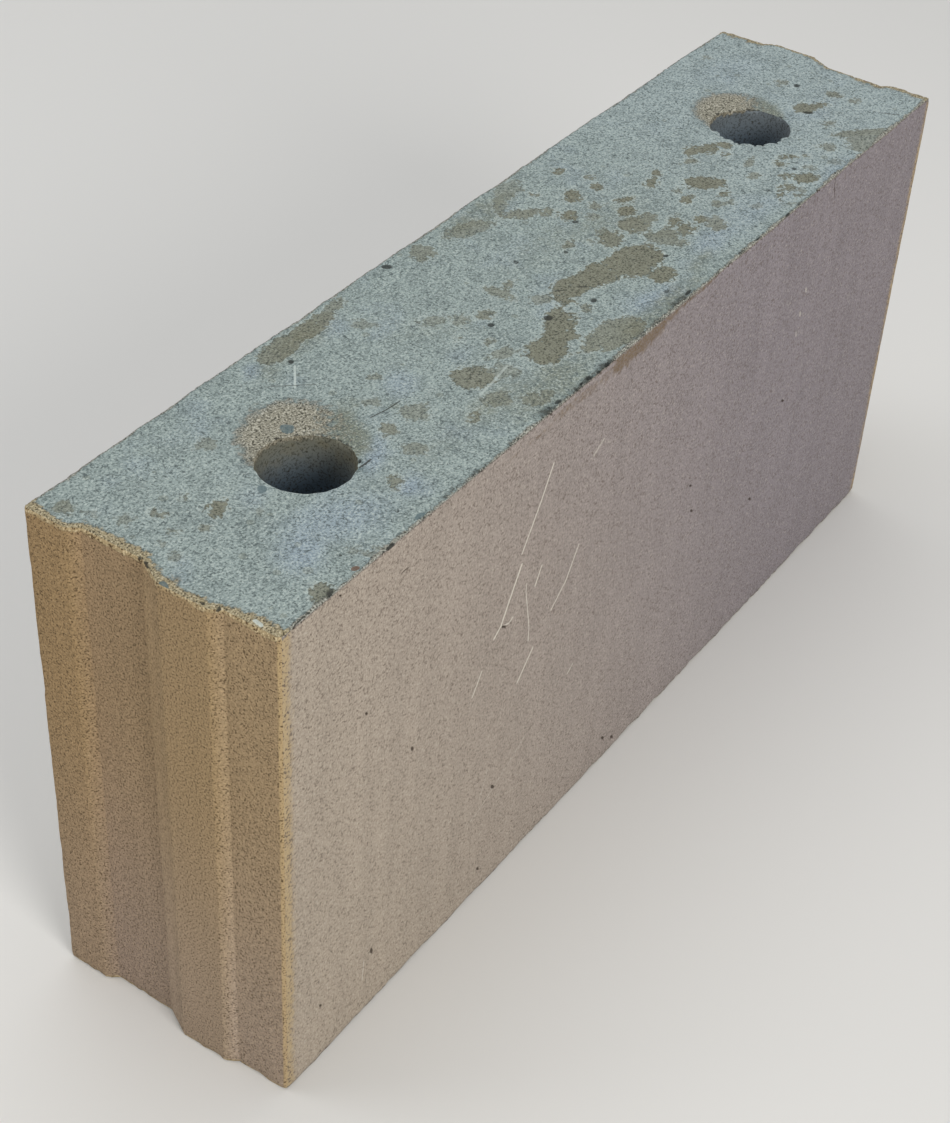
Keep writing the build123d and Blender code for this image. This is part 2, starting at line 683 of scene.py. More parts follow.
@dataclass(frozen=True)
class Spot:
    """A round or long mark on a flat face, as the photo shows it.

    The middle, the half width and half height are photo pixels, turn is degrees, clockwise in the
    photo, and strength is how plainly it shows, 0 to 1.
    """

    column: float
    row: float
    half_width: float
    half_height: float
    turn: float = 0.0
    strength: float = 1.0

    def measure(
        self, view: ViewPoint, points: np.ndarray, axis: int, level: float
    ) -> tuple[np.ndarray, float]:
        """Measures how far out from the spot's middle each point lies.

        Args:
            view: the camera that saw it.
            points: the places to measure, one a row.
            axis: the axis that the face is square to.
            level: where on that axis the face lies.

        Returns:
            For each point, 0 at the spot's middle and 1 at its outline, and the spot's mean radius.
        """
        angle = math.radians(self.turn)
        middle = np.array((self.column, self.row))
        right = middle + self.half_width * np.array((math.cos(angle), math.sin(angle)))
        down = middle + self.half_height * np.array((-math.sin(angle), math.cos(angle)))
        keep = [index for index in range(3) if index != axis]
        places = [np.array(view.meet(pixel, axis, level))[keep] for pixel in (middle, right, down)]
        centre, first, second = places
        shape = np.column_stack((first - centre, second - centre))
        local = np.linalg.solve(shape, (points[:, keep] - centre).T)
        return np.hypot(*local), math.sqrt(abs(np.linalg.det(shape)))


@dataclass(frozen=True)
class Line:
    """A line on a flat face: the photo pixels it runs through, and its half width in metres."""

    pixels: tuple[tuple[float, float], ...]
    half_width: float = 0.35 * MM
    strength: float = 1.0

    def measure(self, view: ViewPoint, points: np.ndarray, axis: int, level: float) -> np.ndarray:
        """Gives each point's distance from the line; the arguments are those of Spot.measure."""
        path = [np.array(view.meet(pixel, axis, level)) for pixel in self.pixels]
        nearest = np.full(len(points), np.inf)
        for start, end in zip(path, path[1:]):
            run = end - start
            share = np.clip((points - start) @ run / (run @ run), 0, 1)
            nearest = np.minimum(nearest, np.linalg.norm(points - start - share[:, None] * run, axis=1))
        return nearest


@dataclass(frozen=True)
class FaceMarks:
    """All that the photo shows on one flat face. The fields of spots have soft or sharp outlines."""

    axis: int
    washed: tuple[Spot, ...] = ()
    olive: tuple[Spot, ...] = ()
    cool: tuple[Spot, ...] = ()
    pits: tuple[Spot, ...] = ()
    blue_stones: tuple[Spot, ...] = ()
    brown_stones: tuple[Spot, ...] = ()
    scratches: tuple[Line, ...] = ()
    cracks: tuple[Line, ...] = ()
    stains: tuple[Line, ...] = ()

    def sharp_spots(self) -> tuple[Spot, ...]:
        """Lists the small spots that need a fine mesh."""
        return self.pits + self.blue_stones + self.brown_stones

    def sharp_lines(self) -> tuple[Line, ...]:
        """Lists the thin lines that need a fine mesh."""
        return self.scratches + self.cracks


MARK_NAMES = (
    "washed",
    "soak",
    "olive",
    "cool",
    "broken",
    "pit",
    "blue_stone",
    "brown_stone",
    "scratch",
    "crack",
    "stain",
    "sandy",
)
TOP_MARKS = FaceMarks(
    axis=2,
    washed=(
        Spot(633, 261, 30, 16, -12),
        Spot(597, 275, 28, 13, -20),
        Spot(570, 288, 19, 11, -10),
        Spot(563, 299, 11, 7),
        Spot(560, 326, 17, 18, 25),
        Spot(548, 350, 22, 14, -10),
        Spot(614, 334, 34, 14, -22, 0.8),
        Spot(473, 377, 22, 12, 0, 0.9),
        Spot(506, 371, 13, 8, 0, 0.5),
        Spot(635, 225, 17, 8, 0, 0.9),
        Spot(611, 239, 13, 8, 0, 0.9),
        Spot(626, 211, 9, 6, -10),
        Spot(670, 233, 9, 6, 0, 0.8),
        Spot(687, 228, 9, 5, 0),
        Spot(674, 221, 6.5, 5, 0),
        Spot(668, 241, 20, 5, 10, 0.7),
        Spot(663, 275, 13, 8, 0),
        Spot(701, 219, 6.5, 4),
        Spot(715, 222, 7, 6, 0, 0.7),
        Spot(718, 225, 8, 5, 0, 0.8),
        Spot(572, 196, 9, 6.5),
        Spot(570, 216, 8.5, 4.6),
        Spot(596, 187, 6.5, 3.7),
        Spot(590, 178, 6.5, 3.3, 0, 0.8),
        Spot(558, 171, 6, 3),
        Spot(626, 199, 8, 3.2),
        Spot(596, 205, 7.4, 4, 0, 0.7),
        Spot(593, 217, 7.4, 3.4, 0, 0.5),
        Spot(651, 183, 7, 4),
        Spot(657, 172.5, 5.5, 4),
        Spot(687, 200, 6, 3.7),
        Spot(678, 191, 4, 2.5, 0, 0.7),
        Spot(519, 214, 20, 5, -5, 0.8),
        Spot(508, 190, 15, 8, -20, 0.5),
        Spot(500, 205, 8, 10, 0, 0.5),
        Spot(535, 194, 5.5, 2.8),
        Spot(546, 212, 8.3, 4, 0, 0.8),
        Spot(469, 229, 26, 7, -14, 0.6),
        Spot(500, 293, 17, 5, 18, 0.7),
        Spot(485, 314, 9, 4.6, 0, 0.8),
        Spot(461, 320, 9, 5.5, 0, 0.5),
        Spot(541, 300, 11, 5.5, 0, 0.6),
        Spot(587, 308, 6.5, 3.3, 0, 0.7),
        Spot(508, 285, 4, 3, 0, 0.8),
        Spot(489, 342, 5, 3.3, 0, 0.7),
        Spot(458, 339, 5, 3, 0, 0.8),
        Spot(568, 245, 5, 3, 0, 0.8),
        Spot(601, 232, 5, 3, 0, 0.6),
        Spot(590, 242, 5, 2.5, 0, 0.6),
        Spot(474, 416, 7, 5.5, 0, 0.8),
        Spot(537, 398, 15, 7, -12, 0.6),
        Spot(498, 399, 15, 8, -10, 0.6),
        Spot(704, 183, 21, 6.5, 2),
        Spot(693, 150, 8.5, 5.2),
        Spot(710, 149, 9, 4.2),
        Spot(723, 145, 9.4, 2.6, 10),
        Spot(726, 154, 6, 2.6),
        Spot(694, 161, 7.5, 2.5, 0, 0.8),
        Spot(723, 194, 6, 3.8),
        Spot(731, 201, 4.7, 2.3, 0, 0.6),
        Spot(717, 204, 5.3, 2.8, 0, 0.7),
        Spot(649, 218, 7.5, 5.6, 0, 0.8),
        Spot(663, 236, 17, 4.7, 4, 0.8),
        Spot(750, 163, 4.7, 3.8, 0, 0.7),
        Spot(780, 164, 6.6, 3.4),
        Spot(788, 157, 7.5, 2.3, -8),
        Spot(785, 176, 6, 2.8, 0, 0.9),
        Spot(806, 178, 12.2, 4.9),
        Spot(808, 168, 6.6, 2.6, 0, 0.5),
        Spot(756, 176, 6.6, 2.8, 0, 0.7),
        Spot(788, 187, 9.4, 3.4),
        Spot(800, 190.5, 4.7, 2.3, 0, 0.6),
        Spot(781, 195, 4.7, 2.6),
        Spot(799, 196, 5.3, 1.9, 0, 0.8),
        Spot(790, 204, 8.5, 2.3, 0, 0.5),
        Spot(757, 206, 4.7, 2.3, 0, 0.5),
        Spot(804.6, 107.4, 11.3, 5.2),
        Spot(822.5, 105, 6.6, 2.8),
        Spot(834, 94.6, 8, 2.6, 8, 0.8),
        Spot(854.5, 101, 6, 2.8, 0, 0.7),
        Spot(781, 83.3, 5.3, 2.6, 0, 0.7),
        Spot(710, 57, 6.6, 1.7, 0, 0.6),
        Spot(830, 124, 5.3, 3.4, 0, 0.7),
        Spot(862, 133, 28, 4.1, -4, 0.8),
        Spot(866, 140, 19, 6.6, 0, 0.7),
        Spot(862, 147, 13, 5.3, 0, 0.7),
        Spot(828, 147, 6.6, 3.8, 0, 0.7),
        Spot(818, 147, 4, 2.3, 0, 0.6),
        Spot(807, 155, 4.7, 1.9, 0, 0.8),
        Spot(836, 163, 7.5, 2.3, 0, 0.4),
        Spot(216.4, 509.5, 10.7, 8, -20),
        Spot(205.7, 528, 6.3, 3.9, 0, 0.7),
        Spot(157.5, 513, 8.6, 3.9, 0, 0.8),
        Spot(183, 497, 5, 3.2, 0, 0.6),
        Spot(125.4, 519, 8, 6, 0, 0.5),
        Spot(175, 532, 7, 3.6, 0, 0.6),
        Spot(90, 514, 7, 3.2, 0, 0.4),
        Spot(63, 508, 10.7, 7, 0, 0.6),
        Spot(175, 557, 6.8, 4.5, 0, 0.5),
        Spot(161, 543, 4.5, 3.6, 0, 0.5),
        Spot(261, 512, 5.4, 3.2, 0, 0.4),
        Spot(280, 349, 24, 11, -28, 0.8),
        Spot(311, 327, 27, 9, -32, 0.85),
        Spot(334, 305, 11, 5.5, -35, 0.7),
        Spot(422, 253, 13, 8, 0, 0.7),
        Spot(363, 325, 15, 4.6, 0, 0.5),
        Spot(432, 321, 18, 4.6, -10, 0.5),
        Spot(504, 353, 14, 5, -8, 0.6),
        Spot(374, 377, 11, 2.4, 0, 0.6),
        Spot(415, 412, 16, 9, -10, 0.6),
        Spot(389, 430, 9, 7, 0, 0.8),
        Spot(415, 449, 11, 6, 0, 0.6),
        Spot(395, 482, 9, 7, 0, 0.8),
        Spot(374, 403, 11, 4, 0, 0.5),
        Spot(320.6, 591.7, 13, 11, 0, 0.9),
        Spot(354, 551, 6.3, 4.1, 0, 0.4),
        Spot(373, 550, 8, 3.6, -20, 0.6),
        Spot(206, 444, 9, 7, 0, 0.5),
    ),
    olive=(
        Spot(550, 385, 70, 26, -35, 0.5),
        Spot(660, 310, 70, 16, -38, 0.55),
        Spot(500, 400, 60, 22, -32, 0.45),
        Spot(540, 250, 60, 22, -30, 0.25),
        Spot(610, 220, 60, 22, -20, 0.35),
        Spot(480, 215, 50, 16, -32, 0.5),
        Spot(268, 370, 16, 13, 0, 0.5),
        Spot(300, 340, 48, 18, -32, 0.5),
        Spot(430, 330, 60, 14, -8, 0.25),
        Spot(350, 402, 24, 10, 0, 0.35),
        Spot(450, 440, 60, 14, -38, 0.3),
        Spot(62, 510, 22, 12, 0, 0.4),
        Spot(700, 262, 24, 10, -35, 0.45),
    ),
    cool=(
        Spot(655, 300, 34, 12, -20, 0.8),
        Spot(712, 240, 26, 14, -30, 0.7),
        Spot(336, 520, 66, 25, -15, 0.7),
        Spot(300, 552, 30, 26, 0, 0.7),
        Spot(415, 488, 22, 11, 0, 0.7),
        Spot(252, 371, 11, 8, 0, 0.8),
        Spot(400, 384, 20, 16, 0, 0.6),
        Spot(335, 327, 16, 11, 0, 0.5),
        Spot(840, 170, 24, 12, -30, 0.6),
        Spot(375, 455, 12, 24, 20, 0.8),
        Spot(460, 355, 14, 8, 0, 0.4),
        Spot(730, 70, 40, 14, -10, 0.3),
        Spot(770, 205, 30, 10, -30, 0.4),
    ),
    pits=(
        Spot(548.4, 317, 5, 3),
        Spot(593.7, 299.5, 3.5, 2.3),
        Spot(491, 324, 4, 2.3),
        Spot(516, 261.5, 3, 2, 0, 0.7),
        Spot(566, 251.4, 3, 1.8, 0, 0.7),
        Spot(665.8, 255, 3, 1.5),
        Spot(666.7, 290.5, 3.5, 2.4, 0, 0.7),
        Spot(575.2, 221, 3.6, 1.6),
        Spot(768, 189.6, 2.8, 1.8, 0, 0.7),
        Spot(797, 84.8, 3.4, 1.9),
        Spot(794.3, 168, 2.6, 1.5, 0, 0.8),
        Spot(809, 112, 6, 1.5),
        Spot(387, 266, 6, 2.4),
        Spot(291, 360.5, 3, 2.8),
        Spot(418.6, 341, 3, 1.8, 0, 0.6),
        Spot(359.5, 460, 2, 2.6),
        Spot(329.5, 592, 4, 6, 20, 0.8),
        Spot(143.5, 564, 4.6, 4.6, 40),
        Spot(138, 557, 2, 2),
        Spot(217.3, 608.6, 4.5, 2.2, -50),
        Spot(202, 602.5, 3, 1.5, 20),
        Spot(392, 545.3, 5, 3, -40),
        Spot(362.9, 501.4, 2, 1.8, 0, 0.6),
        Spot(397.7, 510.5, 2, 1.7, 0, 0.7),
        Spot(340.5, 554.4, 2, 1.6, 0, 0.8),
        Spot(607, 364, 3.2, 2.2, -40),
        Spot(599, 371, 2.0, 1.5, 10),
        Spot(589, 377, 3.6, 2.3, -30),
        Spot(581, 383, 2.0, 1.6, -60),
        Spot(558, 401, 4.0, 1.9, -25),
        Spot(549, 407, 2.0, 1.5, 20),
        Spot(688, 292, 4, 1.8, -40),
        Spot(788, 214, 3, 1.5, -40),
        Spot(758, 238, 4, 1.6, -40, 0.8),
    ),
    blue_stones=(
        Spot(162, 586.3, 5.7, 5.4),
        Spot(262, 489, 5, 4, 0, 0.8),
        Spot(287.3, 426, 8, 4.2, 0, 0.7),
        Spot(420, 516, 6, 3, -30, 0.7),
        Spot(362, 470, 6, 4, -30, 0.5),
    ),
    brown_stones=(
        Spot(355.4, 568.5, 4.6, 2.3, -10),
        Spot(865.8, 79.5, 4, 1.9, 20, 0.7),
    ),
    scratches=(
        Line(((294.7, 366), (295, 379), (295, 388)), 0.45 * MM, 0.8),
        Line(((480, 395), (494, 381), (507, 366)), 0.7 * MM, 0.5),
        Line(((326, 379), (336, 372), (345, 367)), 0.4 * MM, 0.4),
        Line(((255, 621), (260, 625)), 0.9 * MM, 1.0),
        Line(((315, 385), (318, 391)), 0.4 * MM, 0.5),
    ),
    cracks=(
        Line(((265, 387), (290, 385.5), (315, 384.5)), 0.3 * MM, 0.6),
        Line(((370.6, 417.5), (386, 410), (400, 401)), 0.3 * MM, 0.8),
        Line(((359.5, 467.5), (365, 464), (370.6, 459.5)), 0.4 * MM),
        Line(((556, 291), (566, 290)), 0.35 * MM, 0.8),
        Line(((579, 287), (587, 286.5)), 0.4 * MM),
        Line(((879, 112.5), (889, 114), (899.6, 115)), 0.35 * MM, 0.7),
        Line(((293.5, 631), (296, 625), (304, 617)), 0.35 * MM),
    ),
    stains=(
        Line(((420, 522), (450, 492), (490, 462), (520, 438)), 1.1 * MM, 0.75),
        Line(((540, 416), (570, 396), (610, 362), (650, 328), (690, 292)), 1.8 * MM, 0.95),
        Line(((690, 292), (730, 262), (790, 212), (850, 160)), 0.9 * MM, 0.7),
        Line(((303, 617), (340, 583), (392, 544)), 0.9 * MM, 0.6),
    ),
)
LONG_MARKS = FaceMarks(
    axis=1,
    pits=(
        Spot(493, 787, 2, 2),
        Spot(413, 749, 1.8, 2.4),
        Spot(603, 738, 1.6, 1.6),
        Spot(612, 737, 1.6, 1.6),
        Spot(478, 869, 1.5, 1.5),
        Spot(692, 511, 1.5, 1.5),
        Spot(372, 951, 1.5, 3),
        Spot(321, 1006, 1.5, 1.5),
        Spot(783, 401, 1.4, 1.4),
        Spot(691, 486, 1.4, 1.4),
        Spot(750, 499, 1.4, 1.4),
        Spot(367, 714, 1.6, 1.6),
        Spot(341, 596, 1.8, 1.2),
        Spot(504.5, 627, 2.6, 1.4),
    ),
    scratches=(
        Line(((554, 463), (541, 502), (522, 554)), 0.4 * MM, 0.8),
        Line(((522, 564), (509, 602), (501, 626), (494, 639)), 0.45 * MM),
        Line(((501, 627), (509, 623), (513, 617)), 0.35 * MM, 0.7),
        Line(((527, 583), (526, 592), (529, 627), (528, 641)), 0.3 * MM, 0.7),
        Line(((542, 565), (535, 586)), 0.35 * MM, 0.9),
        Line(((579, 544), (566, 580), (551, 610)), 0.35 * MM, 0.8),
        Line(((533, 647), (517, 683)), 0.4 * MM, 0.8),
        Line(((482, 671), (472, 698)), 0.35 * MM, 0.7),
        Line(((573, 663), (567, 674)), 0.3 * MM, 0.7),
        Line(((526, 733), (510, 761), (479, 810), (467, 826)), 0.3 * MM, 0.45),
        Line(((488, 769), (479, 800)), 0.3 * MM, 0.45),
        Line(((364, 960), (362, 981)), 0.35 * MM, 0.5),
        Line(((594, 456), (599, 447), (604, 439)), 0.8 * MM, 0.45),
        Line(((806, 288), (806, 292)), 0.5 * MM, 0.6),
        Line(((800, 312), (800, 316)), 0.5 * MM, 0.6),
        Line(((796, 332), (796, 336)), 0.5 * MM, 0.5),
    ),
    cracks=(
        Line(((402.6, 572.6), (405, 570), (408.4, 567.7)), 0.35 * MM, 0.8),
        Line(((835.5, 178), (834.5, 188), (835, 198)), 0.35 * MM, 0.7),
        Line(((691, 297), (689, 305)), 0.35 * MM, 0.6),
    ),
    stains=(
        Line(((722, 270), (705, 287), (691, 298)), 1.2 * MM, 0.8),
        Line(((691, 298), (676, 312), (661, 325)), 1.8 * MM, 0.8),
        Line(((662, 326), (645, 342), (618, 365)), 3.6 * MM, 1.0),
        Line(((618, 367), (590, 390), (556, 418)), 1.8 * MM, 0.7),
        Line(((556, 420), (535, 438), (500, 466)), 1.4 * MM, 0.5),
    ),
)


@dataclass(frozen=True)
class Grip:
    """A grip hole, and the shallow dish torn out of the top beside it.

    The dish's middle lies off the hole's by dish_shift. Its torn sand is painted light: beige where the
    dish faces the key lamp, dust-coloured towards the side vector, where its slope turns from the lamp.
    The crumbs are the bearings, in degrees from
    +X towards +Y, where a lump of sand still hangs at the rim, each with how far it spreads along it.
    """

    x: float
    y: float
    radius: float
    dish_shift: tuple[float, float]
    dish_radius: float
    dish_depth: float
    sky_lit_side: tuple[float, float] = (0.54, -0.84)
    worn_depth: float = 30 * MM
    settle_depth: float = 12 * MM
    floor_size: float = 2.4 * MM
    floor_roughness: float = 0.4 * MM
    lip_width: float = 1.3 * MM
    lip_depth: float = 1.8 * MM
    jag_size: float = 3 * MM
    least_jag: float = 0.15 * MM
    most_jag: float = 0.9 * MM
    notch_shade_width: float = 2.4 * MM
    crumb_width: float = 2.5 * MM
    crumb_depth: float = 4 * MM
    crumb_overhang: float = 2.5 * MM
    crumb_sag: float = 0.3 * MM
    largest_crumb: float = 3 * MM
    crumbs: tuple[tuple[float, float], ...] = ()

    def offset(self, points: np.ndarray) -> np.ndarray:
        """Gives each point's distance from the wall of the hole, negative inside it."""
        return np.hypot(points[:, 0] - self.x, points[:, 1] - self.y) - self.radius

    def dish(self, points: np.ndarray) -> np.ndarray:
        """Gives how far out in the dish each point lies: 0 in its middle and 1 at its outline."""
        middle = (self.x + self.dish_shift[0], self.y + self.dish_shift[1])
        share = np.linalg.norm(points[:, :2] - middle, axis=1) / self.dish_radius
        return share * (1 + 0.1 * ripple(points, 9 * MM, 3.1))

    def lean(self, points: np.ndarray) -> np.ndarray:
        """Gives how far each point lies towards the dish's side whose slope turns from the key lamp, as
        a share of its radius.
        """
        middle = (self.x + self.dish_shift[0], self.y + self.dish_shift[1])
        return (points[:, :2] - middle) @ self.sky_lit_side / self.dish_radius

    def hang(self, points: np.ndarray, spread: float = 1.0) -> np.ndarray:
        """Gives how much of a crumb there is on the bearing of each point.

        Args:
            points: the places to look at, one a row.
            spread: how many times wider than itself a crumb is taken to be.

        Returns:
            From 0, no crumb, to about 1, the middle of the largest one.
        """
        bearing = np.arctan2(points[:, 1] - self.y, points[:, 0] - self.x)
        lump = np.zeros(len(points))
        for crumb, width in self.crumbs:
            away = np.abs((bearing - math.radians(crumb) + math.pi) % math.tau - math.pi) * self.radius
            round_top = np.sqrt(np.clip(1 - (away / (width * spread)) ** 2, 0, 1))
            lump = np.maximum(lump, round_top * min(width / self.largest_crumb, 1))
        return lump


@dataclass
class Depths:
    """How far below each of the block's surfaces every point of its mesh lies."""

    top: np.ndarray
    bed: np.ndarray
    long: np.ndarray
    end: np.ndarray


@dataclass(frozen=True)
class MeshLimits:
    """How long an edge of the mesh may be in each kind of place, how that grows away from there, and
    how small the slivers are that are cleared away."""

    near_top: float = 1.55 * MM
    near_bed: float = 3.4 * MM
    upper_part: float = 25 * MM
    flat: float = 11 * MM
    top_face: float = 7 * MM
    bore: float = 1.5 * MM
    bore_mouth: float = 3 * MM
    dish: float = 1.8 * MM
    washed: float = 3.2 * MM
    spot: float = 0.6 * MM
    line: float = 0.65 * MM
    growth: float = 0.6
    washed_growth: float = 1.0
    spot_growth: float = 0.7
    line_growth: float = 0.8
    same_point: float = 0.15 * MM
    sliver: float = 0.05 * MM
    fine_sliver: float = 0.02 * MM
    folded_area: float = 1e-4 * MM * MM
    level_slack: float = 0.5 * MM


@dataclass(frozen=True)
class Chips:
    """A batch of chips: how many, their radius in millimetres, and how far off the arris the middle
    of each lies, as a share of its radius."""

    count: int
    radius: tuple[float, float]
    lift_share: tuple[float, float]


@dataclass(frozen=True)
class Arris:
    """A kind of arris: the two surfaces that meet in it, how round it is worn, and how wide a strip
    of each surface has crumbled along it."""

    first: Face
    second: Face
    radius: float
    first_crumbled: float = 0.0
    second_crumbled: float = 0.0


@dataclass
class Block:
    """The pressed block, with its tongue, groove and grip holes."""

    low: Vector
    high: Vector
    view: ViewPoint
    grips: tuple[Grip, ...]
    tongue_height: float = 3.0 * MM
    groove_depth: float = 3.5 * MM
    tongue_margin: float = 24 * MM
    groove_margin: float = 19.5 * MM
    flank_run: float = 5 * MM
    tongue_step: float = 7 * MM
    groove_step: float = 5 * MM
    soft_edge: float = 0.7 * MM
    arris_radius: float = 2.2 * MM
    first_grid: float = 12 * MM
    bore_sides: int = 96
    split_rounds: int = 12
    on_face: float = 0.1 * MM
    wander: float = 16 * MM
    crumb_size: float = 4 * MM
    grain_size: float = 1.6 * MM
    crumb_depth: float = 0.35 * MM
    pit_depth: float = 0.7 * MM
    washed_fade: float = 6 * MM
    crease_angle: float = math.radians(42)
    limits: MeshLimits = MeshLimits()
    side_chips: Chips = Chips(60, (0.9, 2.4), (0.35, 0.7))
    front_chips: Chips = Chips(46, (0.7, 1.7), (0.2, 0.6))
    end_chips: Chips = Chips(18, (1.0, 2.6), (0.35, 0.7))
    arrises: tuple[Arris, ...] = (
        Arris(Face.TOP, Face.LONG, 1.2 * MM, 2.0 * MM, 1.0 * MM),
        Arris(Face.TOP, Face.END, 1.8 * MM, 6.0 * MM, 3.2 * MM),
        Arris(Face.LONG, Face.END, 1.6 * MM),
        Arris(Face.BED, Face.LONG, 1.2 * MM, 0.8 * MM, 0.8 * MM),
        Arris(Face.BED, Face.END, 1.4 * MM, 1.2 * MM, 1.2 * MM),
    )
    chance: random.Random = field(default_factory=lambda: random.Random(SEED))

    @property
    def end_x(self) -> float:
        """Half the length between the flat margins of the ends."""
        return self.high.x - self.tongue_height

    def end_outline(self) -> list[tuple[float, float]]:
        """Lists the corners of the near end's plan, from the -Y face to the +Y face."""
        margin = -self.end_x
        proud = margin - self.tongue_height
        sunk = margin + self.groove_depth
        tongue_foot = self.low.y + self.tongue_margin
        groove_mouth = self.high.y - self.groove_margin
        return [
            (margin, self.low.y),
            (margin, tongue_foot),
            (proud, tongue_foot + self.flank_run),
            (proud, -self.tongue_step),
            (sunk, self.groove_step),
            (sunk, groove_mouth - self.flank_run),
            (margin, groove_mouth),
            (margin, self.high.y),
        ]

    def depths(self, points: np.ndarray) -> Depths:
        """Measures every point against the block's flat faces and its two ends."""
        outline = np.array(self.end_outline())
        near = points[:, 0] - np.interp(points[:, 1], outline[:, 1], outline[:, 0])
        far = -points[:, 0] - np.interp(-points[:, 1], outline[:, 1], outline[:, 0])
        return Depths(
            top=self.high.z - points[:, 2],
            bed=points[:, 2] - self.low.z,
            long=self.high.y - np.abs(points[:, 1]),
            end=np.minimum(near, far),
        )

    def raised_plan(self) -> bmesh.types.BMesh:
        """Draws the plan with its holes and raises it to the block's height."""
        mesh = bmesh.new()
        near = self.end_outline()
        corners = near + [(-x, -y) for x, y in near]
        rim = [mesh.verts.new((x, y, self.low.z)) for x, y in corners]
        lines = [mesh.edges.new(pair) for pair in zip(rim, rim[1:] + rim[:1])]
        for grip in self.grips:
            half_step = Matrix.Rotation(math.pi / self.bore_sides, 4, "Z")
            place = Matrix.Translation((grip.x, grip.y, self.low.z)) @ half_step
            ring = bmesh.ops.create_circle(
                mesh, segments=self.bore_sides, radius=grip.radius, matrix=place
            )
            lines += dict.fromkeys(line for vert in ring["verts"] for line in vert.link_edges)
        bmesh.ops.triangle_fill(mesh, use_beauty=True, edges=lines)
        sheet = mesh.verts[:] + mesh.edges[:] + mesh.faces[:]
        raised = bmesh.ops.extrude_face_region(mesh, geom=sheet, use_keep_orig=True)
        lifted = [item for item in raised["geom"] if isinstance(item, bmesh.types.BMVert)]
        bmesh.ops.translate(mesh, verts=lifted, vec=(0, 0, self.high.z - self.low.z))
        bmesh.ops.recalc_face_normals(mesh, faces=mesh.faces[:])
        return mesh

    def soften_uprights(self, mesh: bmesh.types.BMesh) -> None:
        """Rounds the upright edges that stand proud: the outer arrises and the tongue's edges."""
        near = self.end_outline()
        outer = [near[0], near[7]]
        proud = [near[2], near[3], near[6]]
        for corners, width in ((outer, self.arris_radius), (proud, self.soft_edge)):
            places = corners + [(-x, -y) for x, y in corners]
            uprights = [edge for edge in mesh.edges if self._stands_at(edge, places)]
            bmesh.ops.bevel(
                mesh,
                geom=uprights,
                offset=width,
                offset_type="OFFSET",
                segments=3,
                profile=0.5,
                affect="EDGES",
                material=-1,
            )

    def _stands_at(self, edge: bmesh.types.BMEdge, places: Sequence[tuple[float, float]]) -> bool:
        """Tells whether an edge is upright and stands at one of the places of the plan."""
        one, other = (vert.co for vert in edge.verts)
        upright = abs(one.z - other.z) > self.soft_edge and math.dist(one.xy, other.xy) < 0.01 * MM
        return upright and any(math.dist(one.xy, place) < 0.01 * MM for place in places)

    def name_faces(self, mesh: bmesh.types.BMesh) -> None:
        """Gives each face the material index of the surface it lies on."""
        for face in mesh.faces:
            middle = face.calc_center_median()
            level = face.normal.z
            if level > 0.5:
                kind = Face.TOP
            elif level < -0.5:
                kind = Face.BED
            elif any(grip.offset(np.array([middle]))[0] < 0.5 * MM for grip in self.grips):
                kind = Face.BORE
            elif abs(face.normal.y) > 0.75 and self.high.y - abs(middle.y) < self.arris_radius:
                kind = Face.LONG
            else:
                kind = Face.END
            face.material_index = kind.value

    def cut_first_grid(self, mesh: bmesh.types.BMesh) -> None:
        """Cuts the large faces into a coarse grid, then into triangles, and clears slivers away."""
        for axis in range(3):
            span = self.high[axis] - self.low[axis]
            count = round(span / self.first_grid)
            for index in range(1, count):
                place = Vector((0, 0, 0))
                place[axis] = self.low[axis] + span * index / count
                square = Vector((0, 0, 0))
                square[axis] = 1
                everything = mesh.verts[:] + mesh.edges[:] + mesh.faces[:]
                bmesh.ops.bisect_plane(mesh, geom=everything, plane_co=place, plane_no=square)
        bmesh.ops.remove_doubles(mesh, verts=mesh.verts[:], dist=self.limits.same_point)
        self._triangulate(mesh)
        bmesh.ops.dissolve_degenerate(mesh, dist=self.limits.sliver, edges=mesh.edges[:])

    @staticmethod
    def _triangulate(mesh: bmesh.types.BMesh) -> None:
        """Cuts every face of more than three corners into triangles."""
        bmesh.ops.triangulate(mesh, faces=[face for face in mesh.faces if len(face.verts) > 3])

    def edge_limit(self, points: np.ndarray) -> np.ndarray:
        """Says how long an edge of the mesh may be where its middle lies at each point."""
        limits = self.limits
        depths = self.depths(points)
        stack = np.sort(np.column_stack((depths.top, depths.bed, depths.long, depths.end)), axis=1)
        finest = np.where(depths.top < limits.upper_part, limits.near_top, limits.near_bed)
        limit = np.minimum(finest + limits.growth * np.abs(stack[:, 1]), limits.flat)
        on_top = depths.top < limits.level_slack
        for grip in self.grips:
            outside = np.abs(grip.offset(points))
            below = np.maximum(depths.top - limits.bore_mouth, 0)
            limit = np.minimum(limit, limits.bore + limits.growth * (outside + below))
            dish = np.flatnonzero(on_top & (outside < 2 * grip.dish_radius))
            beyond = np.maximum(grip.dish(points[dish]) - 1, 0) * grip.dish_radius
            limit[dish] = np.minimum(limit[dish], limits.dish + limits.growth * beyond)
        limit[on_top] = np.minimum(limit[on_top], limits.top_face)
        for marks in (TOP_MARKS, LONG_MARKS):
            level, chosen = self._marked_face(marks, points)
            limit[chosen] = np.minimum(limit[chosen], self._mark_limit(points[chosen], marks, level))
        return limit

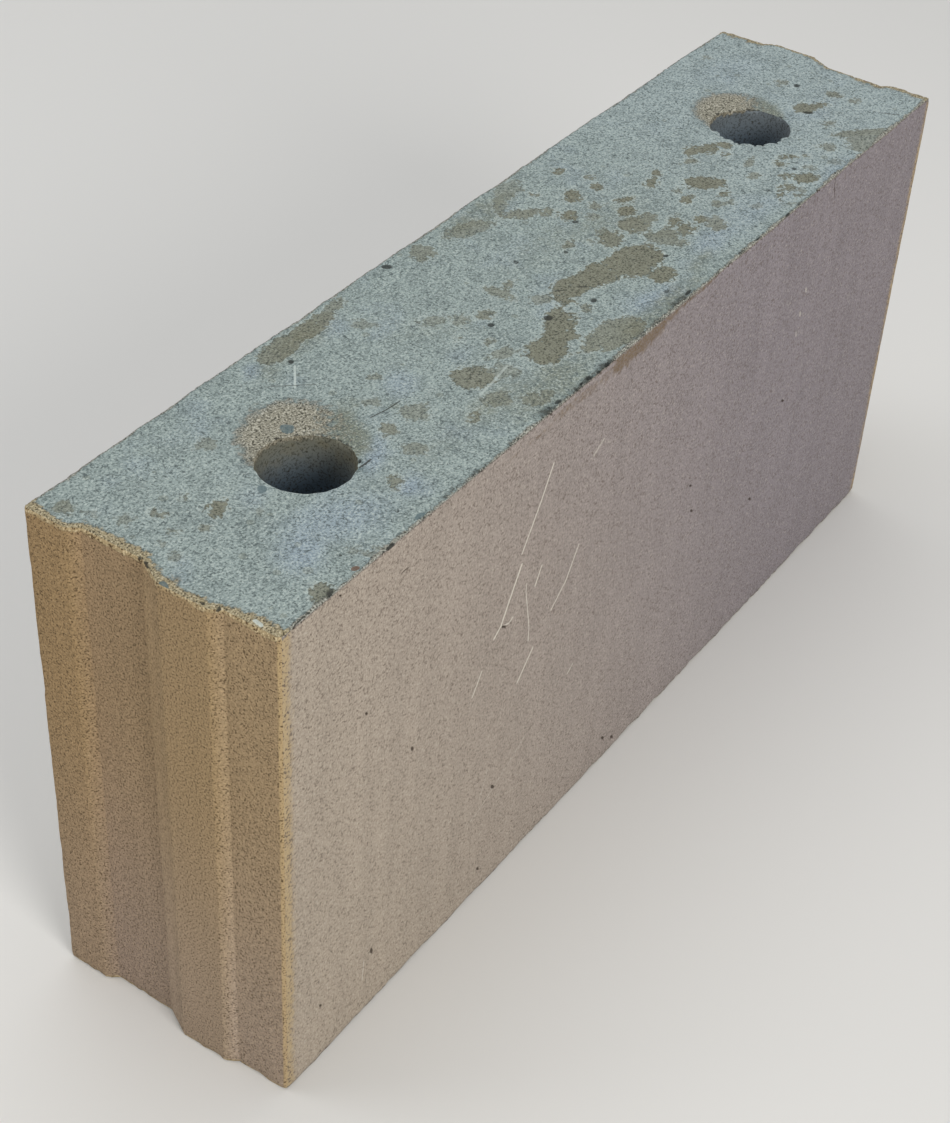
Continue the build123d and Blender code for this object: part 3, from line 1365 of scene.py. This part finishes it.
    def _mark_limit(self, points: np.ndarray, marks: FaceMarks, level: float) -> np.ndarray:
        """Says how long an edge may be near what marks a face."""
        limits = self.limits
        limit = np.full(len(points), np.inf)
        for spot in marks.washed:
            share, radius = spot.measure(self.view, points, marks.axis, level)
            away = np.abs(share - 1) * radius
            limit = np.minimum(limit, limits.washed + limits.washed_growth * away)
        for spot in marks.sharp_spots():
            share, radius = spot.measure(self.view, points, marks.axis, level)
            away = np.maximum(share - 1, 0) * radius
            limit = np.minimum(limit, limits.spot + limits.spot_growth * away)
        for line in marks.sharp_lines():
            distance = line.measure(self.view, points, marks.axis, level)
            away = np.maximum(distance - line.half_width, 0)
            limit = np.minimum(limit, limits.line + limits.line_growth * away)
        return limit

    def _marked_face(self, marks: FaceMarks, points: np.ndarray) -> tuple[float, np.ndarray]:
        """Gives the level of a marked face and the indices of the points that lie in it."""
        if marks.axis == 2:
            return self.high.z, np.flatnonzero(points[:, 2] > self.high.z - self.on_face)
        return self.low.y, np.flatnonzero(points[:, 1] < self.low.y + self.on_face)

    def refine(self, mesh: bmesh.types.BMesh) -> None:
        """Splits edges until none is longer than its place allows, and clears slivers away."""
        for _ in range(self.split_rounds):
            edges = list(mesh.edges)
            ends = np.array([(*edge.verts[0].co, *edge.verts[1].co) for edge in edges])
            ends = ends.reshape(-1, 2, 3)
            length = np.linalg.norm(ends[:, 0] - ends[:, 1], axis=1)
            too_long = length > self.edge_limit(ends.mean(axis=1))
            if not too_long.any():
                break
            chosen = [edges[index] for index in np.flatnonzero(too_long)]
            bmesh.ops.subdivide_edges(mesh, edges=chosen, cuts=1)
            self._triangulate(mesh)
            bmesh.ops.dissolve_degenerate(mesh, dist=self.limits.fine_sliver, edges=mesh.edges[:])
        self._triangulate(mesh)
        crowded = [edge for edge in mesh.edges if len(edge.link_faces) > 2]
        touching = dict.fromkeys(face for edge in crowded for face in edge.link_faces)
        folded = [face for face in touching if face.calc_area() < self.limits.folded_area]
        bmesh.ops.delete(mesh, geom=folded, context="FACES")
        LOG.info("refined to %d triangles", len(mesh.faces))

    def paint_marks(self, points: np.ndarray) -> dict[str, np.ndarray]:
        """Works out the attributes that the finishes read.

        Args:
            points: the mesh's points before they are worn.

        Returns:
            One value a point under each attribute's name.
        """
        marks = {name: np.zeros(len(points)) for name in MARK_NAMES}
        depths = self.depths(points)
        for face in (TOP_MARKS, LONG_MARKS):
            level, chosen = self._marked_face(face, points)
            here = points[chosen]
            for spot in face.washed:
                share, radius = spot.measure(self.view, here, face.axis, level)
                inside = np.clip(0.5 + (1 - share) * radius / self.washed_fade, 0, 1)
                stronger = inside >= marks["washed"][chosen]
                marks["soak"][chosen[stronger]] = spot.strength
                marks["washed"][chosen] = np.maximum(marks["washed"][chosen], inside)
            for name, spots, outer, inner in (
                ("olive", face.olive, 1.3, 0.3),
                ("cool", face.cool, 1.3, 0.3),
                ("pit", face.pits, 1.3, 0.6),
                ("blue_stone", face.blue_stones, 1.2, 0.8),
                ("brown_stone", face.brown_stones, 1.2, 0.8),
            ):
                for spot in spots:
                    share, _ = spot.measure(self.view, here, face.axis, level)
                    shown = ease(share, outer, inner) * spot.strength
                    marks[name][chosen] = np.maximum(marks[name][chosen], shown)
            for name, lines, outer, inner in (
                ("scratch", face.scratches, 1.6, 0.4),
                ("crack", face.cracks, 1.6, 0.4),
                ("stain", face.stains, 2.0, 0.3),
            ):
                for line in lines:
                    away = line.measure(self.view, here, face.axis, level) / line.half_width
                    shown = ease(away, outer, inner) * line.strength
                    marks[name][chosen] = np.maximum(marks[name][chosen], shown)
        sandy = ease(depths.end, 9 * MM, 1 * MM) * ease(depths.long, 2 * MM, 1 * MM)
        under_top = ease(depths.end, 8 * MM, 3 * MM) * ease(depths.top, 3 * MM, 0.5 * MM)
        marks["sandy"] = np.maximum(sandy, under_top) * (0.8 + 0.4 * ripple(points, 30 * MM, 7.7))
        return marks

    def wear(self, points: np.ndarray, marks: dict[str, np.ndarray]) -> np.ndarray:
        """Wears the surface: rounds and crumbles the arrises, tears the mouths, chips and pits it.

        Args:
            points: the mesh's points, which are left as they are.
            marks: the attributes, whose broken value grows where the surface is torn.

        Returns:
            The worn points.
        """
        depths = self.depths(points)
        level = {
            Face.TOP: depths.top,
            Face.BED: depths.bed,
            Face.LONG: depths.long,
            Face.END: depths.end,
        }
        zero = np.zeros(len(points))
        inward = {
            Face.TOP: np.column_stack((zero, zero, zero - 1)),
            Face.BED: np.column_stack((zero, zero, zero + 1)),
            Face.LONG: np.column_stack((zero, -np.sign(points[:, 1]), zero)),
            Face.END: np.column_stack((-np.sign(points[:, 0]), zero, zero)),
        }
        worn = points.copy()
        wide = ripple(points, self.wander, 1.7, 1)
        small = ripple(points, self.crumb_size, 5.3, 1)
        fine = ripple(points, self.grain_size, 9.1, 1)
        for arris in self.arrises:
            radius = arris.radius * np.clip(1 + 0.9 * wide + 0.5 * small, 0.3, 3)
            first = np.clip(1 - level[arris.first] / radius, 0, 1)
            second = np.clip(1 - level[arris.second] / radius, 0, 1)
            worn += inward[arris.first] * (0.3 * radius * first * second**2)[:, None]
            worn += inward[arris.second] * (0.3 * radius * second * first**2)[:, None]
            if not arris.first_crumbled:
                continue
            reach = np.clip(1 + 0.8 * wide + 0.4 * small, 0.2, 2.5)
            first = np.clip(1 - level[arris.first] / (arris.second_crumbled * reach), 0, 1)
            second = np.clip(1 - level[arris.second] / (arris.first_crumbled * reach), 0, 1)
            crumb = first * second
            marks["broken"] = np.maximum(marks["broken"], ease(crumb, 0.0, 0.7))
            rough = (self.crumb_depth * crumb * np.clip(fine + 0.5, 0, 1.5))[:, None]
            worn += (inward[arris.first] + inward[arris.second]) * rough
        self._tear_mouths(points, worn, marks, depths)
        self._press_pits(points, worn, marks)
        self._knock_chips(worn, marks)
        return worn

    def _tear_mouths(
        self, points: np.ndarray, worn: np.ndarray, marks: dict[str, np.ndarray], depths: Depths
    ) -> None:
        """Sinks the torn dish beside each grip hole and makes the hole's rim ragged. Paints the dish's
        torn sand with painted light, and the gaps and notches of the rim with painted shade.
        """
        for grip in self.grips:
            offset = grip.offset(points)
            near = np.flatnonzero((offset < 2 * grip.dish_radius) & (depths.top < grip.worn_depth))
            here = points[near]
            away = np.maximum(offset[near], 0)
            down = depths.top[near]
            share = grip.dish(here)
            fall = np.clip(1 - share, 0, 1)
            torn = ease(share, 1.12, 0.72)
            settle = np.clip(1 - down / grip.settle_depth, 0, 1)
            rough = grip.floor_roughness * ripple(here, grip.floor_size, 2.2) * torn
            worn[near, 2] -= np.maximum(grip.dish_depth * fall + rough, 0) * settle
            lip = np.clip(1 - away / grip.lip_width, 0, 1) * np.clip(1 - down / grip.lip_depth, 0, 1)
            jag = np.clip(ripple(here, grip.jag_size, 6.4) + 0.2, 0, 1) * (0.3 + torn)
            ragged = lip * (grip.least_jag + grip.most_jag * jag)
            crumb = grip.hang(here) * np.clip(1 - away / grip.crumb_width, 0, 1)
            crumb *= np.clip(1 - down / grip.crumb_depth, 0, 1)
            outward = here[:, :2] - (grip.x, grip.y)
            outward /= np.linalg.norm(outward, axis=1)[:, None]
            worn[near, :2] += outward * (ragged - grip.crumb_overhang * crumb)[:, None]
            worn[near, 2] -= ragged * 0.6 + grip.crumb_sag * crumb
            # Painted shade: the gaps between hanging crumbs and the notches along the torn rim are
            # painted dark with the cracks, where shade falls under the rim.
            between = np.clip(1 - 1.6 * grip.hang(here), 0, 1) * grip.hang(here, 2.5) * lip
            notch_shade = np.clip(1 - away / grip.notch_shade_width, 0, 1) * np.clip(jag * 2.2 - 0.5, 0, 1) * torn
            # Painted light: towards the side whose slope turns from the key lamp, the torn sand gives
            # way to olive dust; where it faces the lamp it stays beige.
            sky_lit = ease(grip.lean(here), -0.15, 0.7)
            for name, shown in (
                ("crack", np.maximum(between, notch_shade)),
                ("olive", 0.75 * torn * sky_lit),
                ("sandy", 0.28 * torn),
                ("broken", torn * (1 - 0.75 * sky_lit) * settle**3),
            ):
                marks[name][near] = np.maximum(marks[name][near], shown)

    def _press_pits(self, points: np.ndarray, worn: np.ndarray, marks: dict[str, np.ndarray]) -> None:
        """Sinks the dark pits."""
        sink = self.pit_depth * marks["pit"]
        on_top = points[:, 2] > self.high.z - 0.01 * MM
        worn[:, 2] -= np.where(on_top, sink, 0)
        worn[:, 1] += np.where(on_top, 0, sink)

    def _knock_chips(self, worn: np.ndarray, marks: dict[str, np.ndarray]) -> None:
        """Scoops chips out of the arrises, and paints those on the front top arris dark: painted shade,
        with some grime.
        """
        front = self.low.y + 1 * MM
        for place, radius in self._chip_places():
            away = worn - place
            distance = np.linalg.norm(away, axis=1)
            near = np.flatnonzero(distance < radius * 1.4)
            reach = radius * (1 + 0.3 * ripple(worn[near], 2.0 * MM, 4.4))
            inside = distance[near] < reach
            hit = near[inside]
            worn[hit] = place + away[hit] * (reach[inside] / distance[hit])[:, None]
            marks["broken"][hit] = 0.8
            # Painted shade with grime: the scoops on the front top arris would catch the light, so they
            # are painted dark in the pits' colour.
            if place[1] < front and place[2] > self.high.z:
                marks["pit"][hit] = 0.7

    def _chip_places(self) -> list[tuple[np.ndarray, float]]:
        """Chooses where chips lie: the middle of the scoop, just off an arris, and its radius."""
        places = []
        top, bed, low_y, high_y = self.high.z, self.low.z, self.low.y, self.high.y
        outline = np.array(self.end_outline())
        for radius, lift in self._draw_sizes(self.side_chips):
            x = self.chance.uniform(-self.end_x, self.end_x)
            y = low_y - lift if self.chance.random() < 0.5 else high_y + lift
            z = top + lift if self.chance.random() < 0.7 else bed - lift
            places.append((np.array((x, y, z)), radius))
        for radius, lift in self._draw_sizes(self.front_chips):
            x = self.chance.uniform(-self.end_x, self.end_x)
            places.append((np.array((x, low_y - lift, top + lift)), radius))
        for radius, lift in self._draw_sizes(self.end_chips):
            y = self.chance.uniform(low_y, high_y)
            near = float(np.interp(y, outline[:, 1], outline[:, 0])) - lift
            far = -float(np.interp(-y, outline[:, 1], outline[:, 0])) + lift
            x = near if self.chance.random() < 0.5 else far
            z = top + lift if self.chance.random() < 0.7 else bed - lift
            places.append((np.array((x, y, z)), radius))
        return places

    def _draw_sizes(self, chips: Chips) -> Iterator[tuple[float, float]]:
        """Draws the radius of each chip of a batch, and how far off the arris its middle lies."""
        for _ in range(chips.count):
            radius = self.chance.uniform(*chips.radius) * MM
            yield radius, radius * self.chance.uniform(*chips.lift_share)

    def creases(self, mesh: bmesh.types.BMesh, points: np.ndarray) -> list[int]:
        """Finds the edges in the upright inner corners of the ends, which the mould leaves crisp.

        Args:
            mesh: the refined mesh.
            points: its points before they are worn.

        Returns:
            The indices of those edges.
        """
        near = self.end_outline()
        inner = [near[1], near[4], near[5]]
        in_corner = np.zeros(len(points), bool)
        for place in inner + [(-x, -y) for x, y in inner]:
            in_corner |= np.linalg.norm(points[:, :2] - place, axis=1) < 0.05 * MM
        mesh.verts.index_update()
        mesh.edges.index_update()
        return [edge.index for edge in mesh.edges if all(in_corner[vert.index] for vert in edge.verts)]

    def build(self) -> bpy.types.Object:
        """Makes the whole block as one object."""
        mesh = self.raised_plan()
        self.soften_uprights(mesh)
        self.name_faces(mesh)
        self.cut_first_grid(mesh)
        self.refine(mesh)
        mesh.verts.ensure_lookup_table()
        points = np.array([vert.co[:] for vert in mesh.verts])
        marks = self.paint_marks(points)
        creases = self.creases(mesh, points)
        worn = self.wear(points, marks)
        for vert, place in zip(mesh.verts, worn):
            vert.co = place
        shell = bpy.data.meshes.new("block_body")
        mesh.to_mesh(shell)
        mesh.free()
        for name, values in marks.items():
            shell.attributes.new(name, "FLOAT", "POINT").data.foreach_set("value", values)
        shell.shade_smooth()
        shell.set_sharp_from_angle(angle=self.crease_angle)
        for index in creases:
            shell.edges[index].use_edge_sharp = True
        piece = bpy.data.objects.new("block_body", shell)
        bpy.context.scene.collection.objects.link(piece)
        self.dress(shell)
        return piece

    def end_light_and_shade_bands(self) -> tuple[tuple[float, Colour], ...]:
        """Tints the bands of an end: the tongue's flank lighter, painted light on abraded sand; the
        step's slope lighter, painted light; the groove darker, painted shade; the far margin duller.

        Returns:
            Each stop's share of the thickness, from the tongue's side, and the tint there.
        """
        near = self.end_outline()
        foot, tongue, step_top, step_foot, groove, mouth = (corner[1] for corner in near[1:7])
        edge = 0.4 * MM
        # Painted light and shade across the end: each stop lightens or darkens a band as the key lamp
        # lights or shades it.
        stops = (
            (foot - edge, (1.0, 1.02, 1.07, 1.0)),
            (foot + edge, (1.11, 1.15, 1.24, 1.0)),
            (tongue - edge, (1.01, 1.02, 1.0, 1.0)),
            (tongue + edge, (0.94, 0.94, 0.92, 1.0)),
            (step_top, (0.98, 0.98, 0.98, 1.0)),
            (0.0, (1.10, 1.10, 1.12, 1.0)),
            (step_foot - edge, (1.08, 1.08, 1.10, 1.0)),
            (step_foot + edge, (0.89, 0.89, 0.93, 1.0)),
            (groove - edge, (0.95, 0.94, 1.0, 1.0)),
            (groove + edge, (0.92, 0.91, 0.94, 1.0)),
            (mouth - edge, (0.94, 0.92, 0.87, 1.0)),
            (mouth + edge, (0.93, 0.89, 0.82, 1.0)),
        )
        span = self.high.y - self.low.y
        return tuple(((place - self.low.y) / span, tint) for place, tint in stops)

    def dress(self, shell: bpy.types.Mesh) -> None:
        """Gives the mesh its finishes, in the order of Face."""
        shell.materials.append(DustyTop().material())
        shell.materials.append(BED_FACE.material())
        shell.materials.append(LONG_FACE.material())
        # The ends' finish carries the painted light and shade of their bands.
        shell.materials.append(replace(END_FACE, bands=self.end_light_and_shade_bands()).material())
        shell.materials.append(BoreWall().material())


@dataclass(frozen=True)
class SoftBox:
    """A large soft lamp: where it hangs, its size and its power in watts."""

    name: str
    place: Point
    size: float
    power: float
    colour: tuple[float, float, float] = (1.0, 1.0, 1.0)


@dataclass(frozen=True)
class Studio:
    """The floor and the light."""

    aim: Point
    floor_half: float = 6.0
    floor_colour: Colour = paint(226, 225, 222)
    sky: Colour = (1.0, 1.0, 1.0, 1.0)
    sky_strength: float = 0.39
    lamps: tuple[SoftBox, ...] = (
        SoftBox("key", (-0.9, -1.8, 1.2), 1.0, 27.0, (1.0, 0.98, 0.95)),
        SoftBox("overhead", (0.2, 0.4, 2.3), 2.0, 18.5, (0.96, 0.98, 1.0)),
        SoftBox("fill", (-1.1, 1.7, 1.1), 1.4, 9.0, (0.98, 0.99, 1.0)),
    )

    def build(self) -> None:
        """Lays the floor and hangs the lamps."""
        scene = bpy.context.scene
        scene.view_settings.view_transform = "Standard"
        mesh = bmesh.new()
        bmesh.ops.create_grid(mesh, x_segments=1, y_segments=1, size=self.floor_half)
        sheet = bpy.data.meshes.new("floor")
        mesh.to_mesh(sheet)
        mesh.free()
        floor = bpy.data.objects.new("floor", sheet)
        scene.collection.objects.link(floor)
        sheet.materials.append(self._floor_finish())
        world = bpy.data.worlds.new("studio")
        world.use_nodes = True
        sky = world.node_tree.nodes["Background"]
        sky.inputs["Color"].default_value = self.sky
        sky.inputs["Strength"].default_value = self.sky_strength
        scene.world = world
        for lamp in self.lamps:
            self._hang(lamp)

    def _floor_finish(self) -> bpy.types.Material:
        """Builds the floor's finish: pale matt board with the faintest cloud."""
        graph = FinishGraph("floor_board")
        cloud = graph.cloud(0.4, 2.0)
        colour = graph.blend(cloud * 0.06, self.floor_colour, paint(200, 200, 200))
        return graph.close(colour, 0.9, cloud, 0.1 * MM)

    def _hang(self, lamp: SoftBox) -> None:
        """Hangs one lamp, facing the block."""
        light = bpy.data.lights.new(lamp.name, "AREA")
        light.shape = "DISK"
        light.size = lamp.size
        light.energy = lamp.power
        light.color = lamp.colour
        fitting = bpy.data.objects.new(lamp.name, light)
        fitting.location = lamp.place
        facing = Vector(self.aim) - Vector(lamp.place)
        fitting.rotation_euler = facing.to_track_quat("-Z", "Y").to_euler()
        bpy.context.scene.collection.objects.link(fitting)


def read_grips() -> tuple[Grip, ...]:
    """Reads the grip holes from the record's mounts, and gives each its dish and crumbs."""
    mounts = {mount["name"]: mount for mount in frame["record"]["mounts"]}
    near, far = (mounts[name] for name in ("grip_hole_near", "grip_hole_far"))
    return (
        Grip(
            *near["pos_m"][:2],
            near["dims"]["r_mm"] * MM,
            dish_shift=(10.6 * MM, 10.2 * MM),
            dish_radius=26.5 * MM,
            dish_depth=2.0 * MM,
        ),
        Grip(
            *far["pos_m"][:2],
            far["dims"]["r_mm"] * MM,
            dish_shift=(9.2 * MM, 11.0 * MM),
            dish_radius=22.5 * MM,
            dish_depth=1.6 * MM,
            crumbs=(
                (149, 2.6 * MM),
                (163, 1.3 * MM),
                (177, 2.3 * MM),
                (189, 1.2 * MM),
                (204, 3.1 * MM),
                (221, 1.6 * MM),
                (238, 2.9 * MM),
                (255, 1.3 * MM),
                (268, 2.4 * MM),
            ),
        ),
    )


def main() -> None:
    """Builds the scene and hands the block to the frame."""
    logging.basicConfig(level=logging.INFO, format="%(name)s: %(message)s")
    view = ViewPoint()
    view.place_camera()
    low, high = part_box("block")
    Studio(aim=(0.0, 0.0, high.z / 2)).build()
    piece = Block(low=low, high=high, view=view, grips=read_grips()).build()
    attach(piece, "root")
    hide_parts("block")
    LOG.info("%s: %d triangles", piece.name, len(piece.data.polygons))


if __name__ == "__main__":
    main()
